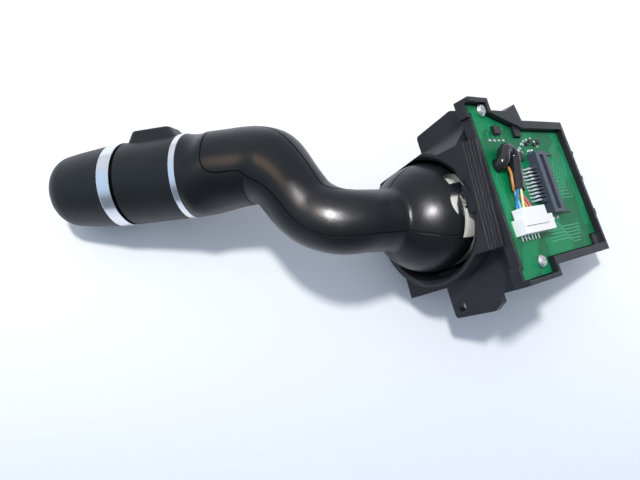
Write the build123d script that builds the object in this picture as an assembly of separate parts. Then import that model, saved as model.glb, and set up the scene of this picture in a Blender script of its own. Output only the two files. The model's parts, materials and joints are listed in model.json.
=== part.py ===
from build123d import *
import math
import os

# Combination stalk switch: a two-shell gooseneck lever in a gimbal, on a moulded housing that carries
# the circuit board. Millimetres. Everything is modelled in the housing frame: X runs back into the
# housing, Y runs across it, Z is the circuit board's normal, and the collar's front rim is centred on
# the origin. place() then lays the finished part on the bench, on its knob and its tray's far edge.

# ---- bench attitude and origin ----
bench_tilt = 37.0
origin_back = -24.18
origin_across = 10.02
origin_drop = -30.21

# ---- fits and gaps ----
pin_fit = 0.04
slide_fit = 0.06
seat_gap = 0.1
soft_gap = 0.3
seam_gap = 0.3

# ---- gimbal centre, dome and neck ----
pivot_depth = 3.0
dome_r = 18.0
dome_edge_x = -1.0
relief_x = 0.9
relief_r = 5.6
tongue_y = (3.2, 6.0)
tongue_back_x = 2.4
notch_y = (6.0, 9.2)
notch_x = -2.4
shell_wall = 1.8
neck_r = 9.8
neck_blend_r = 2.4
neck_dir = (-0.977, 0.105, -0.184)
neck_root_length = 19.0
neck_mid_length = 23.0
neck_length = 27.0

# ---- collar, hood and frame plate ----
collar_inner_r = 20.0
collar_wall = 2.0
collar_depth = 10.0
collar_shift_y = -0.9
collar_lip = 1.0
collar_side_y = 18.4
collar_low_z = -6.0
collar_low_lean = 12.0
hood_half_y = 16.8
hood_top_z = 22.5
hood_near_z = 20.8
hood_far_z = 23.6
hood_steps = 2
hood_step_x = 1.6
hood_step_rise = 1.3
plate_t = 3.0
plate_low_z = -22.0
plate_low_y = -24.0
plate_near_y = 19.2
plate_near_z = -20.4
plate_far_y = 25.2
skirt_y = -30.6
skirt_z = 8.0
boss_half_y = 4.4
boss_front_x = 0.4
boss_back_x = 7.5
boss_inner_z = 17.9

# ---- mounting ears, in the plane of the frame plate ----
ear_low = ((-34.7, -5.8), (-35.4, 9.6), (-33.4, 12.8))
ear_low_hole = (-31.4, -2.2)
ear_high = ((28.2, 1.1), (30.8, 16.5), (29.2, 19.9))
ear_hole_r = 1.6
ear_pad_r = 3.0
ear_pad_t = 0.5
ear_corner_r = 1.2

# ---- board tray ----
tray_rim_z = 28.0
tray_low_z = 8.07
tray_lip_t = 5.4
tray_wall = 1.5
tray_side_wall = 2.7
shoulder_high_y = 25.0
shoulder_x = 22.4
shoulder_low_y = 22.3
tray_front_x = 4.6
tray_tab_x = 3.4
tray_front_wall = 1.0
tray_far_x = 60.9
tray_skew_x = 3.3
tray_low_y = -26.5
tray_high_y = 22.6
tray_floor_t = 2.0
floor_drop = 4.4
tab_high_y = 29.9
tab_low_y = -30.3
tab_root_y = 24.0
high_tab_end_x = 14.6
low_tab_end_x = 23.9
step_y = 25.7
step_end_x = 23.2
horn_x = 30.8
horn_y = 28.5
horn_end_x = 32.2
rib_t = 1.6
rib_count = 3
rib_step = 2.0
nub_places = (-12.2, 0.8, 10.6)
nub_lengths = (2.4, 1.6, 1.2)
nub_out = 0.8
nub_drop = 2.6

# ---- mechanism case behind the frame plate ----
case_half_y = 20.5
case_far_x = 36.0
case_low_z = -10.0
case_deep_x = 24.0
case_deep_z = -18.0
case_wall = 2.0
window_x0 = 15.0
window_x1 = 30.0
window_half_y = 9.0

# ---- circuit board and what it carries ----
board_t = 1.6
board_recess = 2.0
board_gap = 0.35
ledge_w = 1.4
board_notch = (26.5, 17.0, 4.5)
board_corner_cut = (56.4, -19.6)
screw_r = 1.1
screw_grip = 1.2
screw_boss_r = 3.0
screw_head_r = 2.1
screw_head_h = 1.5
screw_places = ((10.9, 26.2), (16.6, -24.3))
header_x = 31.2
header_w = 7.4
header_y0 = -10.3
header_y1 = 11.0
header_h = 3.2
header_slot_w = 2.6
header_slot_depth = 2.2
fin_reach = 9.4
fin_t = 0.6
fin_h = 0.8
lead_count = 10
lead_pitch = 1.2
lead_middle_y = 0.3
lead_w = 0.6
lead_t = 0.4
lead_high = 1.6
lead_reach = 5.6
shelf_x = 29.2
shelf_h = 2.0
shelf_slot_w = 0.5
lead_back_reach = 1.4
socket_x0 = 7.8
socket_x1 = 26.6
socket_y0 = -15.4
socket_y1 = -10.4
socket_h = 4.0
plug_x1 = 22.9
plug_y1 = -7.4
plug_pitch = 2.05
wire_count = 5
wire_r = 0.42
wire_sides = 12
wire_first_x = 9.4
wire_bundle_r = 0.95
wire_order = (162, 234, 90, 306, 18)
sleeve_r = 2.0
sleeve_wall = 0.3
sleeve_foot = (10.4, 7.6)
sleeve_rise = (14.0, 12.6)
sleeve_turn = (18.6, 11.4)
sleeve_tail = (13.9, -1.4)
sleeve_bend_r = 2.5
chips = (
    (16.0, 19.4, 4.0, 2.6, 1.3),
    (25.4, 10.4, 4.0, 3.0, 0.8),
    (33.6, 14.8, 1.6, 1.0, 0.7),
    (36.0, 16.0, 1.6, 1.0, 0.7),
    (38.6, 14.6, 1.6, 1.0, 0.7),
    (41.6, 15.6, 2.0, 1.4, 0.7),
)

# ---- gimbal block, its pins and the detent ----
ball_r = 15.7
ball_front_x = -6.5
recess_r = 11.3
recess_x = -4.0
drum_r = 17.3
drum_front_x = 4.7
drum_back_x = 11.0
slot_half_y = 8.6
slot_half_z = 12.0
slot_end_x = 9.2
gimbal_pin_r = 1.6
pull_pin_r = 2.0
pull_pin_half = 13.6
arm_half = 5.0
arm_end_x = 27.0
finger_x = 21.0
finger_half_x = 3.5
finger_half_y = 3.0
contact_t = 0.7
plunger_r = 2.5
plunger_len = 12.0
plunger_bore_x = 14.5
plunger_travel = 1.2
detent_r = 28.6
detent_half_y = 9.0
detent_half_z = 5.0
detent_step = 7.0
notch_r = 2.9
spring_wire_r = 0.3
coil_facets = 10

# ---- lever core, in the neck ----
core_start = 10.6
core_gap = 0.25
core_tube_end = 24.0
core_tube_bore_r = 3.0
core_tongue_half_y = 7.8
core_tongue_half_z = 5.5
core_tongue_front_x = -9.0
core_tongue_end_x = 8.0

# ---- lever centreline, from the neck's tip over the gooseneck to the handle's end ----
goose_low = (-7.1, 3.2, -5.4)
goose_rise = (-10.0, 9.4, -10.7)
goose_high = (-12.7, 20.1, -14.3)
goose_turn = (-14.8, 26.5, -19.4)
handle_end = (-28.0, 31.5, -39.0)
handle_dir = (-0.539, 0.209, -0.816)
handle_lead = 10.0
lever_radii = (9.8, 10.3, 10.8, 10.8, 12.6, 12.6, 13.3, 13.8)
lever_sections = 10
seam_side_angle = 35.0

# ---- lid: parting-line angles about the centreline, from the mould's draw direction to each side ----
draw_dir = (-0.60, -0.25, 0.76)
lid_neck_stations = (1.0, 8.0, 15.0, 21.0)
lid_neck_reaches = (14.4, 14.4, 12.2, 10.8)
lid_neck_angles = ((-14.0, 92.0), (-15.2, 92.0), (-16.4, 92.0), (-17.6, 92.0))
lid_goose_angles = ((-18.0, 90.0), (-28.0, 55.0), (-33.0, 49.0), (-30.0, 58.0), (-6.0, 88.0))
lid_goose_stations = (0.0, 0.22, 0.42, 0.56, 0.70)
lid_handle_angles = ((-2.0, 92.0), (3.0, 91.0), (17.0, 84.0))
lid_handle_stations = (-15.0, -10.4, -8.5)

# ---- rings, collar and knob, as distances along the handle axis from handle_end ----
handle_r = 13.8
ring_proud = 0.2
ring_t = 2.2
inner_ring_end = 2.0
collar_start = 2.2
collar_end = 21.9
collar_r = 13.8
collar_shell_t = 2.0
tab_height = 3.0
tab_base_len = 20.6
tab_top_len = 13.6
tab_base_shift = 0.9
tab_top_shift = 0.6
tab_root_depth = 3.5
tab_base_w = 13.0
tab_top_w = 9.0
tab_edge_r = 1.0
tab_up = (0.06, 0.97, 0.21)
spindle_r = 8.0
spindle_bore_r = 4.0
spindle_end = 20.5
spindle_flange_t = 1.6
spindle_flange_relief = 0.7
bearing_w = 2.5
outer_ring_start = 23.1
outer_ring_end = 27.5
hub_disc_r = 11.3
hub_disc_start = 22.3
hub_disc_end = 28.0
hub_shaft_start = 4.0
hub_post_r = 4.0
hub_post_end = 45.0
knob_sleeve_t = 1.4
knob_start = 27.6
knob_end = 50.1
knob_waist = 37.7
knob_waist_r = 12.9
knob_shoulder = 44.2
knob_shoulder_r = 12.1
knob_face_r = 7.2
knob_wall = 1.8
knob_boss_start = 36.0
knob_boss_r = 6.5
knob_travel = 1.0

# ---- derived places ----
X_AXIS = Vector(1, 0, 0)
Y_AXIS = Vector(0, 1, 0)
Z_AXIS = Vector(0, 0, 1)
pivot = Vector(pivot_depth, 0, 0)
collar_centre = Vector(0, collar_shift_y, 0)
neck = Vector(*neck_dir).normalized()
neck_tip = pivot + neck * neck_length
handle = Vector(*handle_dir).normalized()
handle_root = neck_tip + Vector(*handle_end)
draw = Vector(*draw_dir).normalized()
board_top = tray_rim_z - board_recess
board_low = board_top - board_t
floor_top = board_low - floor_drop
floor_low = floor_top - tray_floor_t
plate_back = collar_depth + plate_t
case_inner_x = case_far_x - case_wall
lever_path = Spline(
    neck_tip,
    neck_tip + Vector(*goose_low),
    neck_tip + Vector(*goose_rise),
    neck_tip + Vector(*goose_high),
    neck_tip + Vector(*goose_turn),
    handle_root - handle * handle_lead,
    handle_root,
    tangents=[neck, handle],
)


# ---- helpers ----
def on_handle(distance):
    return handle_root + handle * distance


def rod(radius, start, end):
    axis = end - start
    return extrude(Plane(origin=start, z_dir=axis) * Circle(radius), axis.length)


def tube(outer, inner, start, end):
    axis = end - start
    ring = Plane(origin=start, z_dir=axis) * (Circle(outer) - Circle(inner))
    return extrude(ring, axis.length)


def block(x0, x1, y0, y1, z0, z1):
    centre = Vector((x0 + x1) / 2, (y0 + y1) / 2, (z0 + z1) / 2)
    return Pos(centre) * Box(x1 - x0, y1 - y0, z1 - z0)


def slab(points, z0, z1):
    return Pos(0, 0, z0) * extrude(make_face(Polyline(*points, close=True)), z1 - z0)


def wall_face(points, x):
    return make_face(Polyline(*[(x, y, z) for y, z in points], close=True))


def wall_plate(points, x0, x1):
    return extrude(wall_face(points, x0), x1 - x0, dir=(1, 0, 0))


def coil(radius, wire_r, start, end, turns):
    axis = end - start
    rise = axis.length - 2.5 * wire_r
    steps = turns * coil_facets
    points = []
    for i in range(steps + 1):
        turn = 2 * math.pi * i / coil_facets
        points.append((radius * math.cos(turn), radius * math.sin(turn), 1.25 * wire_r + rise * i / steps))
    line = Polyline(*points)
    profile = Plane(origin=line @ 0, z_dir=line % 0) * Rectangle(2 * wire_r, 2 * wire_r)
    return Plane(origin=start, z_dir=axis) * sweep(profile, path=line, transition=Transition.RIGHT)


def bent_rod(radius, route):
    body = None
    for edge in route.edges():
        disc = Plane(origin=edge @ 0, z_dir=edge % 0) * Circle(radius)
        if edge.geom_type == GeomType.CIRCLE:
            bend = Axis(edge.arc_center, (edge % 0).cross(edge % 1))
            piece = revolve(disc, bend, math.degrees(edge.length / edge.radius))
        else:
            piece = extrude(disc, edge.length)
        body = piece if body is None else body + piece
    return body


def mix(values, share):
    reach = share * (len(values) - 1)
    low = min(int(reach), len(values) - 2)
    return values[low] + (values[low + 1] - values[low]) * (reach - low)


def place(shape):
    lean = Rot(0, bench_tilt, 0) * shape
    return Pos(-origin_back, -origin_across, -origin_drop) * lean


# ---- front frame: collar, hood, frame plate and mounting ears ----
def ear(corners, root_y):
    points = [(root_y, corners[0][1])] + list(corners) + [(root_y, corners[-1][1])]
    plate = wall_plate(points, collar_depth, plate_back)
    outer = [e for e in plate.edges().filter_by(Axis.X) if abs(e.center().Y) > abs(root_y) + 1]
    return fillet(outer, ear_corner_r)


def frame_plate():
    outline = [
        (plate_low_y, plate_low_z),
        (plate_low_y, skirt_z),
        (skirt_y, skirt_z),
        (skirt_y, hood_top_z),
        (plate_far_y, hood_top_z),
        (plate_near_y, plate_near_z),
    ]
    body = wall_plate(outline, collar_depth, plate_back)
    body += ear(ear_low, plate_low_y + 1)
    body += ear(ear_high, plate_near_y)
    y, z = ear_low_hole
    body += rod(ear_pad_r, Vector(plate_back, y, z), Vector(plate_back + ear_pad_t, y, z))
    return body - rod(ear_hole_r, Vector(collar_depth - 1, y, z), Vector(plate_back + 1, y, z))


def collar_ring():
    ring = rod(collar_inner_r + collar_wall, collar_centre, collar_centre + X_AXIS * collar_depth)
    side_foot = Vector(collar_depth, plate_near_y, plate_near_z)
    side_head = Vector(collar_depth, plate_far_y, hood_top_z)
    side_out = (side_head - side_foot).cross(Vector(0, collar_side_y, 0) - side_foot)
    if side_out.Y < 0:
        side_out = side_out * -1
    ring -= extrude(Plane(origin=side_foot, z_dir=side_out) * Rectangle(200, 200), 20)
    low_cut = Pos(0, 0, collar_low_z) * Rot(0, -collar_low_lean, 0) * Pos(-20, 0, -40) * Box(40, 80, 80)
    return ring - low_cut


def hood():
    foot = [(hood_half_y, 0), (-hood_half_y, 0)]
    front_points = foot + [(-hood_half_y, hood_near_z), (hood_half_y, hood_near_z)]
    share = -plate_near_z / (hood_top_z - plate_near_z)
    side_y = plate_near_y + (plate_far_y - plate_near_y) * share
    back_points = [(side_y, 0), (-hood_half_y, 0), (-hood_half_y, hood_top_z), (plate_far_y, hood_top_z)]
    body = loft([wall_face(front_points, 0), wall_face(back_points, collar_depth)], ruled=True)
    for i in range(hood_steps + 1):
        rise = i * hood_step_rise
        step = foot + [(-hood_half_y, hood_near_z + rise), (hood_half_y, hood_far_z + rise)]
        body += wall_plate(step, i * hood_step_x, tray_front_x - seat_gap)
    return body


def collar_bore():
    bore = rod(collar_inner_r, collar_centre - X_AXIS, collar_centre + X_AXIS * (plate_back + 1))
    mouth = Plane(origin=collar_centre - X_AXIS, z_dir=X_AXIS)
    flare_align = (Align.CENTER, Align.CENTER, Align.MIN)
    flare = Cone(collar_inner_r + collar_lip + 1, collar_inner_r, collar_lip + 1, align=flare_align)
    return bore + mouth * flare


def front_frame():
    body = frame_plate() + collar_ring() + hood() - collar_bore()
    for side in (-1, 1):
        boss = block(boss_front_x, boss_back_x, -boss_half_y, boss_half_y, boss_inner_z, collar_inner_r + 1)
        boss &= rod(collar_inner_r + 0.6, Vector(boss_front_x, 0, 0), Vector(boss_back_x, 0, 0))
        bore = rod(gimbal_pin_r + pin_fit / 2, pivot, pivot + Z_AXIS * (collar_inner_r + 1.7))
        if side < 0:
            boss = Rot(180, 0, 0) * boss
            bore = Rot(180, 0, 0) * bore
        body += boss
        body -= bore
    return body


# ---- board tray with the mechanism case ----
def tray_outline():
    return [
        (tray_tab_x, tab_high_y),
        (high_tab_end_x, tab_high_y),
        (high_tab_end_x, step_y),
        (step_end_x, step_y),
        (horn_x, horn_y),
        (horn_end_x, tray_high_y),
        (tray_far_x, tray_high_y),
        (tray_far_x + tray_skew_x, tray_low_y),
        (low_tab_end_x, tray_low_y),
        (low_tab_end_x, tab_low_y),
        (tray_tab_x, tab_low_y),
        (tray_tab_x, -tab_root_y),
        (tray_front_x, -tab_root_y),
        (tray_front_x, tab_root_y),
        (tray_tab_x, tab_root_y),
    ]


def well_outline():
    wall = tray_wall
    front = tray_front_wall
    side = tray_side_wall
    return [
        (tray_tab_x + front, tab_high_y - wall),
        (high_tab_end_x - wall, tab_high_y - wall),
        (high_tab_end_x - wall, shoulder_high_y),
        (shoulder_x, shoulder_low_y),
        (horn_x, tray_high_y - side),
        (tray_far_x - wall, tray_high_y - side),
        (tray_far_x + tray_skew_x - wall, tray_low_y + side),
        (low_tab_end_x - wall, tray_low_y + side),
        (low_tab_end_x - wall, tab_low_y + wall),
        (tray_tab_x + front, tab_low_y + wall),
        (tray_tab_x + front, -tab_root_y - front),
        (tray_front_x + front, -tab_root_y - front),
        (tray_front_x + front, tab_root_y + front),
        (tray_tab_x + front, tab_root_y + front),
    ]


def well_slab(inset, z0, z1):
    face = make_face(Polyline(*well_outline(), close=True))
    if inset > 0:
        face = offset(face, amount=-inset, kind=Kind.INTERSECTION)
    return Pos(0, 0, z0) * extrude(face, z1 - z0)


def board_tray():
    body = slab(tray_outline(), tray_rim_z - tray_lip_t, tray_rim_z)
    body += block(plate_back, tray_far_x, tray_low_y, tray_high_y, tray_low_z, tray_rim_z - tray_lip_t + 1)
    body -= well_slab(0, board_low, tray_rim_z + 1)
    # the front wall ends level with the board
    inner_end = tray_front_x + tray_front_wall
    reach = tab_high_y - tray_wall
    body -= block(tray_tab_x - 1, inner_end, -reach, reach, board_top, tray_rim_z + 1)
    pocket = well_slab(ledge_w, floor_top, board_low + 1)
    inner_x = tray_far_x - tray_wall
    body -= pocket & block(plate_back, inner_x, tab_low_y, tab_high_y, floor_top, board_low + 1)
    # the far screw's boss stands on the tray's floor, the near one's is the tab itself
    for x, y in screw_places:
        foot = floor_low if x - screw_boss_r > plate_back else board_low - screw_grip - 0.3
        body += rod(screw_boss_r, Vector(x, y, foot), Vector(x, y, board_low))
        body -= rod(screw_r + pin_fit, Vector(x, y, board_low - screw_grip), Vector(x, y, board_low + 1))
    nx, ny, nw = board_notch
    post_end = nx + nw - board_gap
    body += block(nx + board_gap, post_end, ny + board_gap, tray_high_y, floor_low, board_top + 1)
    cx, cy = board_corner_cut
    corner_end = tray_far_x + tray_skew_x
    corner = block(cx + board_gap, corner_end, tray_low_y, cy - board_gap, floor_top, board_top + 0.8)
    body += corner & slab(tray_outline(), tray_rim_z - tray_lip_t, tray_rim_z)
    body -= block(window_x0, window_x1, -window_half_y, window_half_y, floor_low - 1, floor_top + 1)
    inner_low = tray_low_y + tray_wall
    inner_high = tray_high_y - tray_wall
    body -= block(plate_back - 1, inner_x, inner_low, inner_high, tray_low_z - 1, floor_low)
    rib_gap = (inner_x - case_far_x) / (rib_count + 1)
    for i in range(1, rib_count + 1):
        x = case_far_x + i * rib_gap
        body += block(x - rib_t / 2, x + rib_t / 2, inner_low, inner_high, tray_low_z + rib_step, floor_low)
    for y, length in zip(nub_places, nub_lengths):
        x = tray_far_x + tray_skew_x * (tray_high_y - y) / (tray_high_y - tray_low_y)
        body += block(x - 1, x + nub_out, y - length / 2, y + length / 2, tray_rim_z - nub_drop, tray_rim_z)
    x, y = sleeve_foot
    body -= rod(sleeve_r + soft_gap, Vector(x, y, hood_top_z), Vector(x, y, board_low + 1))
    return body


# ---- mechanism case, between the frame plate and the tray's floor ----
def case_block(inset, half_y, front_x, top_z):
    outline = Polyline(
        (front_x, -half_y, top_z),
        (case_far_x - inset, -half_y, top_z),
        (case_far_x - inset, -half_y, case_low_z + inset),
        (case_deep_x - inset, -half_y, case_low_z + inset),
        (case_deep_x - inset, -half_y, case_deep_z + inset),
        (front_x, -half_y, case_deep_z + inset),
        close=True,
    )
    return extrude(make_face(outline), 2 * half_y, dir=(0, 1, 0))


def mechanism_case():
    outer = case_block(0, case_half_y, plate_back, floor_low)
    return outer - case_block(case_wall, case_half_y - case_wall, plate_back - 1, floor_low + 1)


# ---- circuit board ----
def circuit_board():
    board = well_slab(board_gap, board_low, board_top)
    nx, ny, nw = board_notch
    board -= block(nx, nx + nw, ny, tray_high_y + 4, board_low - 1, board_top + 1)
    cx, cy = board_corner_cut
    board -= block(cx, tray_far_x + tray_skew_x, tray_low_y, cy, board_low - 1, board_top + 1)
    for x, y in screw_places:
        board -= rod(screw_r + 0.3, Vector(x, y, board_low - 1), Vector(x, y, board_top + 1))
    x, y = sleeve_foot
    board -= rod(sleeve_r + soft_gap, Vector(x, y, board_low - 1), Vector(x, y, board_top + 1))
    return board


def board_screws():
    screws = []
    for x, y in screw_places:
        head = rod(screw_head_r, Vector(x, y, board_top), Vector(x, y, board_top + screw_head_h))
        head = chamfer(head.edges().group_by(Axis.Z)[-1], screw_head_h * 0.45)
        for turn in (0, 90):
            head -= Pos(x, y, board_top + screw_head_h) * Rot(0, 0, turn) * Box(2.4, 0.5, 1.0)
        point = Vector(x, y, board_low - screw_grip + seat_gap)
        screws.append(head + rod(screw_r, point, Vector(x, y, board_top + 0.1)))
    return Compound(screws)


def header_shell():
    shell = block(header_x, header_x + header_w, header_y0, header_y1, board_top, board_top + header_h)
    middle = header_x + header_w / 2
    half = header_slot_w / 2
    slot_floor = board_top + header_h - header_slot_depth
    shell -= block(
        middle - half, middle + half, header_y0 + 1.2, header_y1 - 1.2, slot_floor, board_top + header_h + 1
    )
    back = header_x + header_w
    for y in (header_y0, header_y1 - fin_t):
        shell += block(back - 1, back + fin_reach, y, y + fin_t, board_top, board_top + fin_h)
    shelf_top = board_top + shelf_h
    shell += block(shelf_x, header_x + 1, lead_row(0) - 1, lead_row(lead_count - 1) + 1, board_top, shelf_top)
    for i in range(1, lead_count):
        y = lead_row(i) - lead_pitch / 2
        half_slot = shelf_slot_w / 2
        shell -= block(shelf_x - 1, header_x, y - half_slot, y + half_slot, board_top + 0.6, shelf_top + 1)
    return shell


def lead_row(index):
    return lead_middle_y + (index - (lead_count - 1) / 2) * lead_pitch


def header_leads():
    leads = []
    high = board_top + lead_high
    for side in (-1, 1):
        face_x = shelf_x if side < 0 else header_x + header_w
        reach = lead_reach if side < 0 else lead_back_reach
        knee = face_x + side * reach * 0.45
        foot = face_x + side * reach
        outline = [
            (face_x, high),
            (face_x, high - lead_t),
            (knee, high - lead_t),
            (knee + side * 0.5, board_top),
            (foot, board_top),
            (foot, board_top + lead_t),
            (knee + side * 0.5 + side * lead_t, board_top + lead_t),
            (knee + side * lead_t, high),
        ]
        for i in range(lead_count):
            y = lead_row(i) - lead_w / 2
            face = make_face(Polyline(*[(x, y, z) for x, z in outline], close=True))
            leads.append(extrude(face, lead_w, dir=(0, 1, 0)))
    return Compound(leads)


def lead_socket():
    body = block(socket_x0, socket_x1, socket_y0, socket_y1, board_top, board_top + socket_h)
    body -= block(
        socket_x0 + 0.7, plug_x1 + seat_gap, socket_y0 + 2.2, socket_y1 + 1, board_top + 0.6, board_top + socket_h + 1
    )
    return body


def lead_plug():
    x0 = socket_x0 + 0.7 + seat_gap
    return block(x0, plug_x1, socket_y0 + 2.2 + seat_gap, plug_y1, board_top + 0.7, board_top + socket_h + 0.3)


def socket_pins():
    pins = []
    for i in range(wire_count + 1):
        x = wire_first_x + (i + 0.5) * plug_pitch
        pins.append(block(x - 0.3, x + 0.3, socket_y0 - 1.7, socket_y0, board_top, board_top + 0.4))
    return Compound(pins)


def sleeve_line():
    lift = board_top + sleeve_r + soft_gap
    points = [Vector(x, y, lift) for x, y in (sleeve_foot, sleeve_rise, sleeve_turn, sleeve_tail)]
    points.insert(0, Vector(sleeve_foot[0], sleeve_foot[1], hood_top_z + seat_gap))
    return FilletPolyline(*points, radius=sleeve_bend_r)


def lead_sleeve():
    line = sleeve_line()
    skin = bent_rod(sleeve_r, line)
    end = line @ 1
    back = (line % 1) * -1
    return skin - rod(sleeve_r - sleeve_wall, end + back * 2.5, end - back)


def lead_wire(index):
    line = sleeve_line()
    end = line @ 1
    out = line % 1
    side = Vector(-out.Y, out.X, 0)
    turn = math.radians(wire_order[index])
    spread = side * math.cos(turn) + Z_AXIS * math.sin(turn)
    start = end - out * 2.2 + spread * wire_bundle_r
    leave = end + out * 0.9 + spread * wire_bundle_r
    enter = Vector(wire_first_x + index * plug_pitch, plug_y1, board_top + 2.4)
    knee = enter + Y_AXIS * 0.9
    route = FilletPolyline(start, leave, knee, enter, radius=0.7)
    return sweep(Plane(origin=route @ 0, z_dir=route % 0) * RegularPolygon(wire_r, wire_sides), path=route)


def board_chips():
    parts = []
    for x, y, length, width, height in chips:
        parts.append(
            block(x - length / 2, x + length / 2, y - width / 2, y + width / 2, board_top, board_top + height)
        )
    return Compound(parts)


# ---- gimbal: block, pins, detent and contacts ----
def gimbal_block():
    ball = Pos(pivot) * Sphere(ball_r)
    body = ball & block(ball_front_x, pivot_depth, -dome_r, dome_r, -dome_r, dome_r)
    body -= rod(recess_r, Vector(ball_front_x - 1, 0, 0), Vector(recess_x, 0, 0))
    body += rod(ball_r - 1, Vector(pivot_depth - 1, 0, 0), Vector(drum_front_x + 1, 0, 0))
    body += rod(drum_r, Vector(drum_front_x, 0, 0), Vector(drum_back_x, 0, 0))
    body += block(drum_back_x - 1, arm_end_x, -arm_half, arm_half, -arm_half, arm_half)
    body += block(
        finger_x - finger_half_x,
        finger_x + finger_half_x,
        -finger_half_y,
        finger_half_y,
        0,
        board_low - soft_gap - contact_t,
    )
    body -= block(ball_front_x - 1, slot_end_x, -slot_half_y, slot_half_y, -slot_half_z, slot_half_z)
    for side in (-1, 1):
        body -= rod(gimbal_pin_r + pin_fit, pivot, pivot + Z_AXIS * side * dome_r)
    body -= rod(pull_pin_r + pin_fit / 2, pivot - Y_AXIS * dome_r, pivot + Y_AXIS * dome_r)
    body -= rod(plunger_r + slide_fit, Vector(plunger_bore_x, 0, 0), Vector(arm_end_x + 1, 0, 0))
    return body


def gimbal_pins():
    pins = []
    for side in (-1, 1):
        start = pivot + Z_AXIS * side * (slot_half_z + seat_gap)
        end = pivot + Z_AXIS * side * (collar_inner_r + 1.6)
        pins.append(rod(gimbal_pin_r, start, end))
    return Compound(pins)


def pull_pin():
    return rod(pull_pin_r, pivot - Y_AXIS * pull_pin_half, pivot + Y_AXIS * pull_pin_half)


def slider_contacts():
    top = board_low - soft_gap
    blades = []
    for i in (-1, 0, 1):
        y = i * finger_half_y * 0.66
        x0 = finger_x - finger_half_x + 0.5
        blades.append(block(x0, finger_x + finger_half_x - 0.5, y - 0.6, y + 0.6, top - contact_t, top))
    return Compound(blades)


def plunger_tip_x():
    return pivot_depth + detent_r - soft_gap


def detent_plunger():
    tip = plunger_tip_x()
    back = Vector(tip - plunger_len, 0, 0)
    pin = rod(plunger_r, back, Vector(tip - plunger_r, 0, 0))
    return pin + Pos(tip - plunger_r, 0, 0) * Sphere(plunger_r)


def plunger_spring():
    start = Vector(plunger_bore_x + 0.05, 0, 0)
    end = Vector(plunger_tip_x() - plunger_len - plunger_travel - 0.05, 0, 0)
    return coil(plunger_r - spring_wire_r - 0.25, spring_wire_r, start, end, 3)


def detent_block():
    track = pivot_depth + detent_r
    body = block(track - 1.5, case_inner_x, -detent_half_y, detent_half_y, -detent_half_z, detent_half_z)
    body -= rod(detent_r, pivot - Z_AXIS * 9, pivot + Z_AXIS * 9)
    for step in (-1, 0, 1):
        turn = math.radians(step * detent_step)
        centre = pivot + Vector(math.cos(turn), math.sin(turn), 0) * (detent_r - notch_r + 1.3)
        body -= rod(notch_r, centre - Z_AXIS * 9, centre + Z_AXIS * 9)
    return body


# ---- lever shells ----
def section_plane(centre, tangent):
    across = (draw - tangent * draw.dot(tangent)).normalized()
    up = tangent.cross(across)
    turn = math.radians(seam_side_angle)
    return Plane(origin=centre, x_dir=across * math.cos(turn) + up * math.sin(turn), z_dir=tangent)


def gooseneck(inset):
    sections = []
    for distance in (neck_root_length, neck_mid_length):
        plane = section_plane(pivot + neck * distance, neck)
        sections.append((plane * Circle(neck_r - inset)).face())
    for i in range(lever_sections):
        share = i / (lever_sections - 1)
        plane = section_plane(lever_path @ share, lever_path % share)
        sections.append((plane * Circle(mix(lever_radii, share) - inset)).face())
    return loft(sections)


def dome_and_neck(inset, edge_x):
    ball = dome_r - inset
    stem = neck_r - inset
    blend = neck_blend_r + inset
    rise = math.sqrt((ball + blend) ** 2 - (stem + blend) ** 2)
    share = ball / (ball + blend)
    foot = Vector((stem + blend) * share, 0, rise * share)
    along = math.asin(foot.X / ball) / 2 + math.pi / 4
    centre = Vector(stem + blend, 0, rise)
    lean = math.atan2(foot.Z - rise, foot.X - centre.X) / 2 - math.pi / 2
    arc = ThreePointArc(Vector(ball, 0, 0), Vector(math.sin(along), 0, math.cos(along)) * ball, foot)
    middle = centre + Vector(math.cos(lean), 0, math.sin(lean)) * blend
    sweep_in = ThreePointArc(foot, middle, Vector(stem, 0, rise))
    root = neck_root_length
    close = Polyline((stem, 0, rise), (stem, 0, root), (0, 0, root), (0, 0, 0), (ball, 0, 0))
    turned_body = section_plane(pivot, neck) * revolve(make_face([arc, sweep_in, close]), Axis.Z)
    return turned_body & block(-dome_r * 3, edge_x, -dome_r * 2, dome_r * 2, -dome_r * 2, dome_r * 2)


def lever_shell():
    outer = dome_and_neck(0, dome_edge_x) + gooseneck(0)
    inner = dome_and_neck(shell_wall, dome_edge_x + 0.5) + gooseneck(shell_wall)
    return outer - inner


def lid_section(centre, tangent, radius, angles, widen):
    across = (draw - tangent * draw.dot(tangent)).normalized()
    up = tangent.cross(across)
    low = math.radians(angles[0]) - widen / radius
    high = math.radians(angles[1]) + widen / radius
    middle = (low + high) / 2
    spots = ((low, 0.45), (low, 1.5), (middle, 1.6), (high, 1.5), (high, 0.45))
    points = []
    for angle, reach in spots:
        points.append(centre + (across * math.cos(angle) + up * math.sin(angle)) * radius * reach)
    return make_face(Polyline(*points, close=True))


def lid_space(widen):
    faces = []
    for distance, reach, angles in zip(lid_neck_stations, lid_neck_reaches, lid_neck_angles):
        faces.append(lid_section(pivot + neck * distance, neck, reach, angles, widen))
    for share, angles in zip(lid_goose_stations, lid_goose_angles):
        reach = mix(lever_radii, share) * 1.05
        faces.append(lid_section(lever_path @ share, lever_path % share, reach, angles, widen))
    for distance, angles in zip(lid_handle_stations, lid_handle_angles):
        shift = widen if distance == lid_handle_stations[-1] else 0
        faces.append(lid_section(on_handle(distance + shift), handle, handle_r, angles, widen))
    return loft(faces)


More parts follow.
